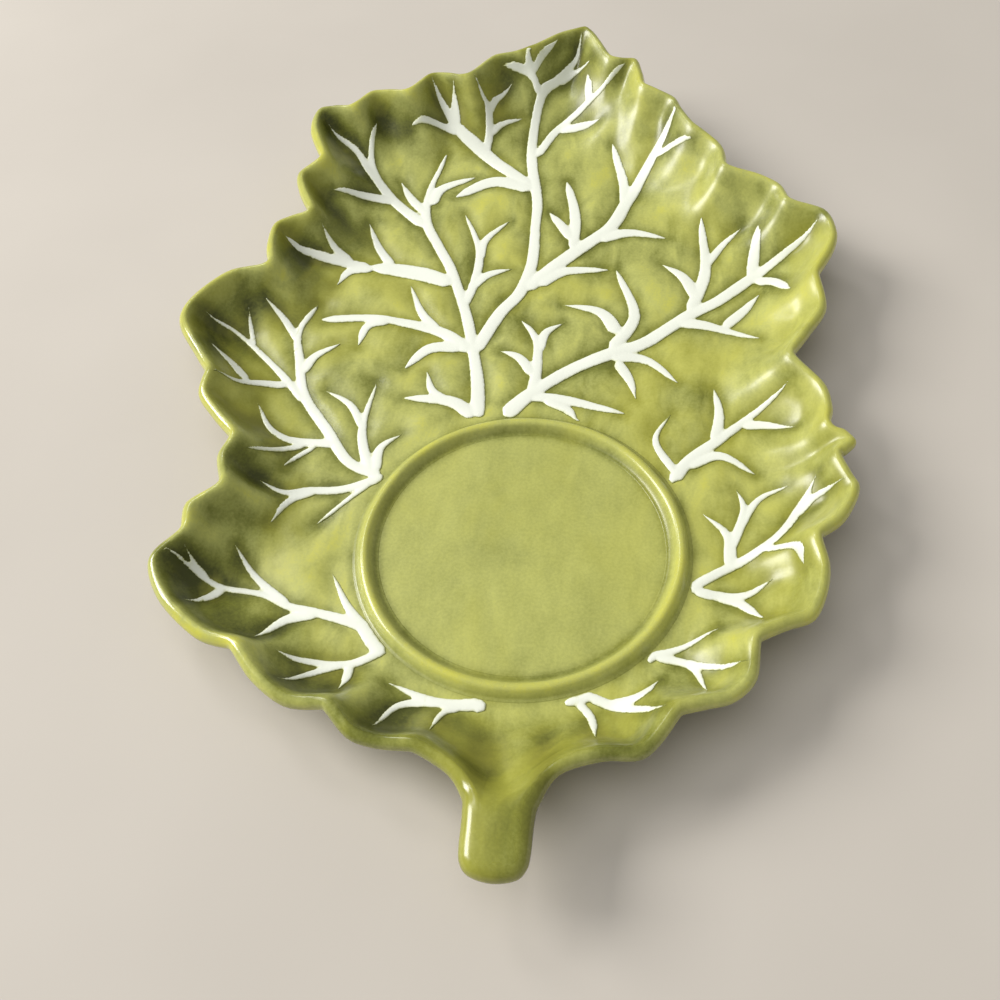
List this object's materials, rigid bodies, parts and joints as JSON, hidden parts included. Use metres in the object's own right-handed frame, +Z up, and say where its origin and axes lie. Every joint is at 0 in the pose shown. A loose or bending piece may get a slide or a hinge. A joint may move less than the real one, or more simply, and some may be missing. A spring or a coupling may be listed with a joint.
{
  "type": "leaf shaped plate",
  "caption": "Leaf shaped glazed stoneware serving plate with a rolled scalloped rim, a ring fenced dip well near the stub stem, raised white veins and an unglazed foot ring.",
  "frame": {"origin": "middle of the footprint box, on the table under the foot ring", "axes": "+Y from the stem to the tip of the leaf, +Z up, +X to the right seen from above with the stem towards the viewer"},
  "size_m": [0.191, 0.293, 0.0289],
  "materials": {
    "leaf_glaze": "glossy",
    "white_enamel": "glossy",
    "bare_clay": "matte"
  },
  "bodies": {
    "root": {"leaf_body": "leaf_glaze", "stem_handle": "leaf_glaze", "dip_ring": "leaf_glaze", "foot_ring": "bare_clay", "vein_centre": "white_enamel", "vein_right_upper": "white_enamel", "vein_left_upper": "white_enamel", "vein_left_lower": "white_enamel", "vein_bottom_left": "white_enamel", "vein_bottom_right": "white_enamel", "vein_right_lower": "white_enamel", "vein_right_mid": "white_enamel", "vein_right_high": "white_enamel"}
  },
  "joints": []
}
